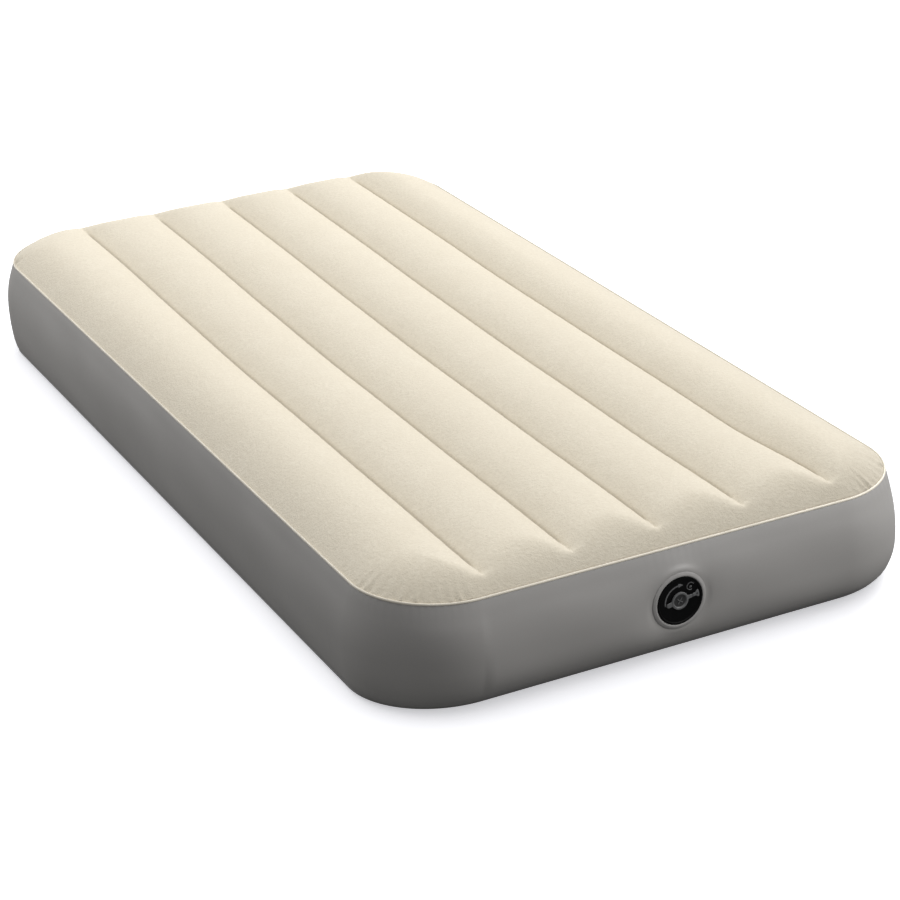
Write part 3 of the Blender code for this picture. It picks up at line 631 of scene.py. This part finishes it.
YARN = (0.78, 0.77, 0.74, 1.0)
# The next colour is painted shade in the gaps between the yarns.
YARN_GAP_SHADE = (0.42, 0.41, 0.39, 1.0)
fibre, spot = new_finish("beam_fibre", Roughness=0.85, Sheen_Weight=0.2)
yarns = spot.node("TexWave", {"wave_type": "BANDS", "bands_direction": "Y"},
                  {"Vector": spot, "Scale": 130.0, "Distortion": 0.6, "Detail": 1.0}, out="Fac")
# Between the yarn bands the colour is painted darker: painted shade in the gaps.
yarn_colour = colour_flow(spot, YARN).tint((1 - yarns) * 0.8, YARN_GAP_SHADE)
dress(fibre, yarn_colour, height=yarns, depth=0.0004, strength=0.5)
repaint([f"beam_web_{number}" for number in beams], fibre)


# ------------------------------------------------------------------ valve collar and socket
# A soft grey ring is welded to the outside of the wall round the valve. The black socket
# behind it has a thread and a rubber gasket, and its flange is welded inside the bed.

COLLAR_INNER, COLLAR_OUTER = 0.0411, 0.0480
COLLAR_GREY = (0.235, 0.228, 0.220, 1.0)
COLLAR_LIGHT = (0.300, 0.293, 0.284, 1.0)
RUBBER_BLACK = (0.016, 0.016, 0.016, 1.0)
RUBBER_DUST = (0.060, 0.058, 0.055, 1.0)


def rounded(corners, radius, steps=4):
    """A closed outline with each corner cut by a quadratic curve that starts and ends a
    radius, or a third of the shorter side, away from it."""
    corners = np.array(corners, float)
    before, after = np.roll(corners, 1, axis=0), np.roll(corners, -1, axis=0)
    back, ahead = before - corners, after - corners
    back_length = np.hypot(*back.T)[:, None]
    ahead_length = np.hypot(*ahead.T)[:, None]
    reach = np.minimum(radius, np.minimum(back_length, ahead_length) / 3)
    start, end = corners + back / back_length * reach, corners + ahead / ahead_length * reach
    share = np.linspace(0, 1, steps)[None, :, None]
    curve = (1 - share) ** 2 * start[:, None] + 2 * share * (1 - share) * corners[:, None]
    return (curve + share ** 2 * end[:, None]).reshape(-1, 2)


def valve_points(right, up, out):
    """Points from distances on the valve's face, with out towards the outside."""
    return np.stack(np.broadcast_arrays(VALVE_X + right, VALVE_Y - out, VALVE_Z + up), axis=-1)


def turned(profile, steps=128, scallops=0, scallop_depth=0.0, scallop_from=1.0):
    """A (radius, out) outline turned about the valve's axis. Scallops dent what lies
    outside a radius in even waves."""
    turn = np.linspace(0, math.tau, steps, endpoint=False)[:, None]
    radius = np.broadcast_to(profile[:, 0], (steps, len(profile)))
    dent = scallop_depth * (0.5 - 0.5 * np.cos(scallops * turn)) * (radius > scallop_from)
    radius = radius - dent
    return carried(valve_points(radius * np.cos(turn), radius * np.sin(turn), profile[:, 1]), True)


soft_grey, spot = new_finish("collar_vinyl", Roughness=0.4, Specular_IOR_Level=0.45)
haze = spot.noise(120, 3.0, 0.6)
collar_grey = colour_flow(spot, COLLAR_GREY).tint(haze.ramp(0.4, 0.8) * 0.5, COLLAR_LIGHT)
dress(soft_grey, collar_grey, 0.34 + haze * 0.15, haze, depth=0.0002, strength=0.15)

collar_profile = rounded([
    (COLLAR_OUTER, GAP), (COLLAR_INNER, GAP), (COLLAR_INNER, 0.0021), (COLLAR_INNER + 0.0022, 0.0024),
    (COLLAR_INNER + 0.0048, 0.0016), (COLLAR_OUTER, 0.0008)], 0.0008)
collar = mesh_piece("collar_ring", [turned(collar_profile)], soft_grey, "bed")
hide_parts("valve_collar")

rubber, spot = new_finish("valve_rubber", Roughness=0.75)
dust = spot.noise(260, 3.0, 0.6).ramp(0.45, 0.85)
rubber_black = colour_flow(spot, RUBBER_BLACK).tint(dust * 0.5, RUBBER_DUST)
dress(rubber, rubber_black, 0.65 + dust * 0.2, dust, depth=0.0001, strength=0.2)
repaint(("valve_gasket", "check_flap"), rubber)


# ------------------------------------------------------------------ screw-in insert
# The black insert is one moulding: a rimmed head with finger scallops, a barrel with one
# coarse thread, and the inflation throat. Moulded marks show which way it turns.

INSERT_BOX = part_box("valve_insert")
HEAD_RADIUS = (INSERT_BOX[1].x - INSERT_BOX[0].x) / 2
FACE_OUT = 0.0010
BARREL_OUTER, BARREL_INNER = 0.0336, 0.0312
BARREL_BACK = -0.0135
THROAT_RADIUS, THROAT_OUTER = 0.0104, 0.0126
THROAT_BACK = -0.0180
THREAD_PITCH = 0.005
THREAD_START = -0.0105
THREAD_TURNS = 1.25
THREAD_RADIUS = 0.00075
SCALLOPS, SCALLOP_DEPTH = 32, 0.0005
MARK_LOW, MARK_HIGH = FACE_OUT - 0.0002, FACE_OUT + 0.0005
ARROW_RADIUS = 0.0262
LOCK_CENTRE, LOCK_RADIUS = (0.0190, 0.0205), 0.0062
BLACK = (0.0030, 0.0030, 0.0032, 1.0)
BLACK_WORN = (0.012, 0.012, 0.012, 1.0)
# The raised marks are the insert's own black; these lighter greys are painted sheen on them.
MARK_SHEEN_GREY = (0.060, 0.060, 0.061, 1.0)
MARK_SHEEN_LIGHT = (0.150, 0.150, 0.152, 1.0)


def bar(centres, sideways, half_widths, low, high):
    """A raised bar along a line of (right, up) points: a rounded box section between two
    heights, carried along it with a half width and a sideways direction at each point."""
    centres, sideways, half_widths = np.array(centres), np.array(sideways), np.array(half_widths)
    box = rounded([(-1, 0), (1, 0), (1, 1), (-1, 1)], 0.3, 3)
    across = box[None, :, 0] * half_widths[:, None]
    out = low + box[None, :, 1] * (high - low)
    right = centres[:, None, 0] + across * sideways[:, None, 0]
    up = centres[:, None, 1] + across * sideways[:, None, 1]
    return carried(valve_points(right, up, out), False)


def arc_bar(radius, start, end, half_widths, low, high):
    """A bar along an arc about the valve's axis, angles in degrees."""
    angle = np.radians(np.linspace(start, end, len(half_widths)))
    outwards = np.stack([np.cos(angle), np.sin(angle)], axis=1)
    return bar(radius * outwards, outwards, half_widths, low, high)


black_plastic, spot = new_finish("valve_black", Roughness=0.36, Specular_IOR_Level=0.16)
spark = spot.noise(1500, 2.0, 0.5)
rub = spot.noise(90, 4.0, 0.65).ramp(0.52, 0.85)
black = colour_flow(spot, BLACK).tint(rub * 0.45, BLACK_WORN)
dress(black_plastic, black, 0.32 + rub * 0.22 + spark * 0.08, spark, depth=0.0001, strength=0.25)
# Painted sheen: the marks are coloured a lighter grey, lighter still in patches, for the sheen on their
# raised faces.
mark_painted_sheen, spot = new_finish("moulded_marks", Roughness=0.5)
patchy_sheen = spot.noise(700, 3.0, 0.6).ramp(0.40, 0.80)
mark_sheen_grey = colour_flow(spot, MARK_SHEEN_GREY).tint(patchy_sheen * 0.8, MARK_SHEEN_LIGHT)
dress(mark_painted_sheen, mark_sheen_grey, 0.42 + patchy_sheen * 0.2, patchy_sheen, depth=0.0001, strength=0.2)

insert_profile = rounded([
    (HEAD_RADIUS, 0.0024), (HEAD_RADIUS, -0.0001), (BARREL_OUTER, -0.0001),
    (BARREL_OUTER, BARREL_BACK), (BARREL_INNER, BARREL_BACK), (BARREL_INNER, -0.0010),
    (THROAT_OUTER, -0.0010), (THROAT_OUTER, THROAT_BACK), (THROAT_RADIUS, THROAT_BACK),
    (THROAT_RADIUS, 0.0002), (0.0157, 0.0002), (0.0162, FACE_OUT),
    (HEAD_RADIUS - 0.0040, FACE_OUT), (HEAD_RADIUS - 0.0031, 0.0027)], 0.0006)
thread_turn = np.linspace(0, math.tau * THREAD_TURNS, 160)[:, None]
section = np.linspace(0, math.tau, 8, endpoint=False)
run_out = np.minimum(1, np.minimum(thread_turn, thread_turn[-1] - thread_turn) / 0.5 + 0.15)
thread_radius = BARREL_OUTER + THREAD_RADIUS * run_out * np.cos(section) - 0.0001
thread_out = THREAD_START + THREAD_PITCH * thread_turn / math.tau + THREAD_RADIUS * run_out * np.sin(section)
thread = carried(valve_points(thread_radius * np.cos(thread_turn), thread_radius * np.sin(thread_turn),
                              thread_out), False)
upwards = [(0.0, 1.0), (0.0, 1.0)]
lug = bar([(-0.005, 0.0150), (0.005, 0.0150)], upwards, [0.0040, 0.0040], THROAT_BACK, THROAT_BACK + 0.0040)
head = turned(insert_profile, 192, SCALLOPS, SCALLOP_DEPTH, HEAD_RADIUS - 0.0012)
insert_head = mesh_piece("insert_head", [head, thread, lug], black_plastic, "screw_insert")
insert_head.data.set_sharp_from_angle(angle=math.radians(50))
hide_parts("valve_insert")

arrow_widths = np.concatenate([np.full(40, 0.0012), np.linspace(0.0034, 0.0002, 8)])
arrow = arc_bar(ARROW_RADIUS, 190, 78, arrow_widths, MARK_LOW, MARK_HIGH)
lock_turn = np.linspace(0, math.tau, 33)[2:-6]
lock_outwards = np.stack([np.cos(lock_turn), np.sin(lock_turn)], axis=1)
lock_ring = bar(LOCK_CENTRE + LOCK_RADIUS * lock_outwards, lock_outwards, np.full(len(lock_turn), 0.0006),
                MARK_LOW, MARK_HIGH)
lock_line = LOCK_CENTRE + np.array([(-0.0022, -0.0012), (0.0022, -0.0012)])
lock_body = bar(lock_line, upwards, [0.0016, 0.0016], MARK_LOW, MARK_HIGH)
marks = mesh_piece("turn_marks", [arrow, lock_ring, lock_body], mark_painted_sheen, "screw_insert")
repaint(("valve_base", "flap_clip"), black_plastic)


# ------------------------------------------------------------------ inflation cap
# The cap is a softer dark grey plastic: a hub with a raised rim over a tapered bung, a
# pull tab, and a strap whose flared end is staked to the insert. The strap thins to a
# living hinge just outside the hub.

STRAP_TILT = math.radians(10)
HINGE_RADIUS = 0.0225
HINGE_CLEARANCE = 0.0013
CAP_RADIUS = 0.0148
BUNG_TOP_RADIUS, BUNG_END_RADIUS = 0.0100, 0.0091
BUNG_DEPTH = 0.0080
STRAP_START = 0.0118
TAB_REACH = 0.0248
ANCHOR_REACH = 0.0345
SLOT_RADIUS = 0.0312        # where the strap's end is staked
FILM_HALF_LENGTH = 0.0010   # a half length about the hinge, for the points film_from and film_to
STRAP_LOW, STRAP_HIGH = FACE_OUT + GAP, 0.0026
CAP_GREY = (0.085, 0.085, 0.086, 1.0)
CAP_LIGHT = (0.145, 0.145, 0.147, 1.0)
# The next dark is both the plastic's fine random tone and the painted shade in the hub's recess and the
# strap's slot.
CAP_DARK_AND_SHADE = (0.014, 0.014, 0.014, 1.0)


def strap_part(reach, half_widths, low, high, tilt=STRAP_TILT):
    """A bar straight out from the valve's axis along the strap's direction."""
    direction = np.array([math.cos(tilt), math.sin(tilt)])
    side = np.array([-math.sin(tilt), math.cos(tilt)])
    return bar(reach[:, None] * direction, np.tile(side, (len(reach), 1)), half_widths, low, high)


def strap_place(reach, out):
    """One point on the strap's line."""
    return valve_points(reach * math.cos(STRAP_TILT), reach * math.sin(STRAP_TILT), out)


soft_plastic, spot = new_finish("cap_grey", Roughness=0.45)
bloom = spot.noise(220, 3.0, 0.6).ramp(0.35, 0.80)
satin = spot.noise(1300, 2.0, 0.5)
cap_colour = colour_flow(spot, CAP_GREY).tint(bloom * 0.45, CAP_LIGHT).tint(satin * 0.12, CAP_DARK_AND_SHADE)
# Distances that mask the painted shade: from the hub's middle, and from the strap end's staking slot.
from_axis, from_slot = (
    spot.node("VectorMath", {"operation": "DISTANCE"}, {0: spot, 1: place.tolist()}, out="Value")
    for place in (valve_points(0, 0, 0.0012), strap_place(SLOT_RADIUS, STRAP_HIGH)))
depth_in = spot.node("SeparateXYZ", {}, {"Vector": spot}, out="Y").ramp(VALVE_Y - 0.0021, VALVE_Y - 0.0016)
# Painted shade: inside its rim, the hub's sunken middle is painted near black.
cap_colour = cap_colour.tint((1 - from_axis.ramp(0.0100, 0.0108)) * depth_in * 0.95, CAP_DARK_AND_SHADE)
# Painted shade: a dark round spot on the strap's flared end stands for the shade in its staking slot.
cap_colour = cap_colour.tint((1 - from_slot.ramp(0.0016, 0.0022)) * 0.9, CAP_DARK_AND_SHADE)
dress(soft_plastic, cap_colour, 0.40 + bloom * 0.15, satin, depth=0.0001, strength=0.25)

cap_profile = rounded([
    (CAP_RADIUS, 0.0030), (CAP_RADIUS, 0.0005), (BUNG_TOP_RADIUS, 0.0005), (BUNG_TOP_RADIUS, 0.0),
    (BUNG_END_RADIUS, -BUNG_DEPTH), (BUNG_END_RADIUS - 0.0006, -BUNG_DEPTH - 0.0004),
    (0.0072, -BUNG_DEPTH - 0.0004), (0.0078, -0.0012), (0.0002, -0.0012), (0.0002, 0.0014),
    (0.0108, 0.0014), (0.0116, 0.0032)], 0.0005)
hub = turned(cap_profile)
reach = np.linspace(STRAP_START, HINGE_RADIUS - HINGE_CLEARANCE, 16)
arm = strap_part(reach, 0.0030 + 0.0012 * ease((0.016 - reach) / 0.004), STRAP_LOW, STRAP_HIGH)
tab_reach = np.linspace(STRAP_START, TAB_REACH, 20)
tab_end = np.maximum(tab_reach - 0.0196, 0) / 0.0053     # 0 up to where the tab's end rounds
tab_width = 0.0042 * np.sqrt(np.clip(1 - tab_end ** 2, 0.02, 1))
tab = strap_part(-tab_reach, tab_width, STRAP_LOW, STRAP_HIGH + 0.0002)
tab_lip_widths = [0.0028, 0.0030, 0.0030, 0.0029, 0.0026, 0.0020]
tab_lip = strap_part(-np.linspace(0.0215, 0.0235, 6), tab_lip_widths, STRAP_HIGH, STRAP_HIGH + 0.0007)
ribs = [strap_part(np.linspace(-0.0060, 0.0060, 4), np.full(4, 0.0007), 0.0012, 0.0024, angle)
        for angle in (STRAP_TILT + math.pi / 4, STRAP_TILT - math.pi / 4)]
cap = mesh_piece("cap_hub", [hub, arm, tab, tab_lip] + ribs, soft_plastic, "cap")
cap.data.set_sharp_from_angle(angle=math.radians(50))
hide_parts("inflation_cap")

reach = np.linspace(HINGE_RADIUS + HINGE_CLEARANCE, ANCHOR_REACH, 24)
flare = 0.0030 + 0.0034 * ease((reach - 0.0275) / 0.0050)
flare = flare * np.sqrt(np.clip(1 - (np.maximum(reach - (ANCHOR_REACH - 0.0015), 0) / 0.0017) ** 2, 0.05, 1))
plate = strap_part(reach, flare, STRAP_LOW, STRAP_HIGH)
anchor = mesh_piece("strap_end", [plate], soft_plastic, "screw_insert")
anchor.data.set_sharp_from_angle(angle=math.radians(50))
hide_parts("cap_strap_anchor")

film_end = HINGE_CLEARANCE + 0.0012     # past the clearance and into both halves
film_reach = HINGE_RADIUS + np.linspace(-film_end, film_end, 14)
film = mesh_piece("strap_hinge", [strap_part(film_reach, np.full(14, 0.0026), 0.0017, 0.0022)],
                  soft_plastic, None)
film_from = strap_place(HINGE_RADIUS - FILM_HALF_LENGTH, 0.0019)
film_to = strap_place(HINGE_RADIUS + FILM_HALF_LENGTH, 0.0019)
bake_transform(film)


# ------------------------------------------------------------------ studio
# A pale floor and a large soft light from the far right, which rakes across the rolls.
# Three weaker lights open up only the wall, the seams' lips and the valve's small parts,
# and a fourth one only the far left of the top skin.

FLOOR_HALF, FLOOR_Z = 7.0, -0.0009
FLOOR_WHITE = (0.90, 0.90, 0.91, 1.0)
FLOOR_SHADE = (0.87, 0.87, 0.89, 1.0)
floor_finish, spot = new_finish("studio_floor", Roughness=0.8, Specular_IOR_Level=0.1,
                                Emission_Color=(0.97, 0.97, 1.0, 1.0), Emission_Strength=0.52)
dress(floor_finish, colour_flow(spot, FLOOR_WHITE).tint(spot.noise(2.0) * 0.1, FLOOR_SHADE))
floor_mesh = bpy.data.meshes.new("studio_floor")
floor_corners = [(x * FLOOR_HALF, y * FLOOR_HALF, FLOOR_Z) for x, y in ((-1, -1), (1, -1), (1, 1), (-1, 1))]
floor_mesh.from_pydata(floor_corners, [], [(0, 1, 2, 3)])
floor_mesh.materials.append(floor_finish)
floor = bpy.data.objects.new("studio_floor", floor_mesh)
floor.visible_diffuse = False
floor.visible_glossy = False
bpy.context.scene.collection.objects.link(floor)


def soft_light(name, place, target, size, power, colour=(1.0, 1.0, 1.0)):
    """A rectangular light, in watts, turned towards a target."""
    lamp = bpy.data.lights.new(name, "AREA")
    lamp.shape = "RECTANGLE"
    lamp.size, lamp.size_y = size
    lamp.energy = power
    lamp.color = colour
    holder = bpy.data.objects.new(name, lamp)
    holder.location = place
    holder.rotation_euler = (Vector(target) - Vector(place)).to_track_quat("-Z", "Y").to_euler()
    bpy.context.scene.collection.objects.link(holder)
    return holder


soft_light("key_softbox", (3.4, 1.6, 2.6), (0.0, 0.2, 0.1), (2.6, 2.6), 84, (1.0, 0.985, 0.95))
end_box = soft_light("end_softbox", (1.8, -2.1, 1.5), (0.5, -0.95, 0.1), (1.2, 0.9), 60)
side_box = soft_light("side_softbox", (-1.9, 1.6, 1.3), (-0.5, 0.5, 0.1), (1.2, 0.8), 31)
corner_box = soft_light("corner_softbox", (-1.7, -2.4, 1.5), (-0.45, -0.9, 0.1), (1.2, 1.2), 9)
far_box = soft_light("far_softbox", (-1.7, 1.9, 1.5), (-0.4, 0.8, 0.2), (0.9, 0.9), 9)
for name, boxes, pieces in (
        ("below_the_flags", (end_box, side_box, corner_box),
         (wall_skin, top_lip, bottom_lip, collar, marks, cap, anchor, film)),
        ("over_the_top", (far_box,), (top_skin,))):
    receivers = bpy.data.collections.new(name)
    for piece in pieces:
        receivers.objects.link(piece)
    for box in boxes:
        box.light_linking.receiver_collection = receivers

ROOM_LIGHT, ROOM_LOW, CEILING_LIGHT = 0.28, 0.15, 1.52
CEILING_TOWARDS, CEILING_FOCUS = (0.35, 0.45, 0.82), 1.5
world = bpy.data.worlds.new("studio")
world.use_nodes = True
direction = Flow(world.node_tree).node("TexCoord", out="Generated")
height = direction.node("SeparateXYZ", {}, {"Vector": direction}, out="Z")
towards = direction.node("VectorMath", {"operation": "DOT_PRODUCT"}, {0: direction, 1: CEILING_TOWARDS},
                         out="Value")
towards = towards.math("MAXIMUM", towards, 0.0)
ceiling = towards.math("POWER", towards, CEILING_FOCUS)
room = ROOM_LOW + height.ramp(-0.1, 0.1) * (ROOM_LIGHT - ROOM_LOW)
world.node_tree.links.new((room + ceiling * CEILING_LIGHT).socket,
                          world.node_tree.nodes["Background"].inputs["Strength"])
world.node_tree.nodes["Background"].inputs["Color"].default_value = (0.98, 0.985, 1.0, 1.0)
bpy.context.scene.world = world
bpy.context.scene.view_settings.view_transform = "Standard"


# ------------------------------------------------------------------ camera
# It stands off the near left corner and looks down over the valve's end of the bed, with
# a long lens, a slight roll, and its aim a little off the bed's middle.

CAMERA_TURN, CAMERA_RISE, CAMERA_ROLL = -0.43882, 0.40582, -0.04370
CAMERA_DISTANCE = 4.73929
CAMERA_AIM = np.array([0.0, 0.0, 0.1])
AIM_RIGHT, AIM_DOWN = -0.01795, 0.02212
LENS_PER_WIDTH = 2.85749
SENSOR = 36.0


def turned_pair(first, second, angle):
    """Two axes turned in their own plane."""
    return (first * math.cos(angle) + second * math.sin(angle),
            second * math.cos(angle) - first * math.sin(angle))


back = np.array([math.sin(CAMERA_TURN) * math.cos(CAMERA_RISE),
                 -math.cos(CAMERA_TURN) * math.cos(CAMERA_RISE), math.sin(CAMERA_RISE)])
ahead = -back
right = np.cross(ahead, [0.0, 0.0, 1.0])
right = right / np.linalg.norm(right)
up = np.cross(right, ahead)
right, up = turned_pair(right, up, CAMERA_ROLL)
ahead, right = turned_pair(ahead, right, -AIM_RIGHT)
ahead, up = turned_pair(ahead, up, -AIM_DOWN)
lens = bpy.data.cameras.new("camera")
lens.sensor_width = SENSOR
lens.lens = LENS_PER_WIDTH * SENSOR
camera = bpy.data.objects.new("camera", lens)
camera.matrix_world = Matrix.Translation(Vector(CAMERA_AIM + back * CAMERA_DISTANCE)) @ Matrix(
    [list(row) for row in np.stack([right, up, -ahead], axis=1)]).to_4x4()
bpy.context.scene.collection.objects.link(camera)
bpy.context.scene.camera = camera
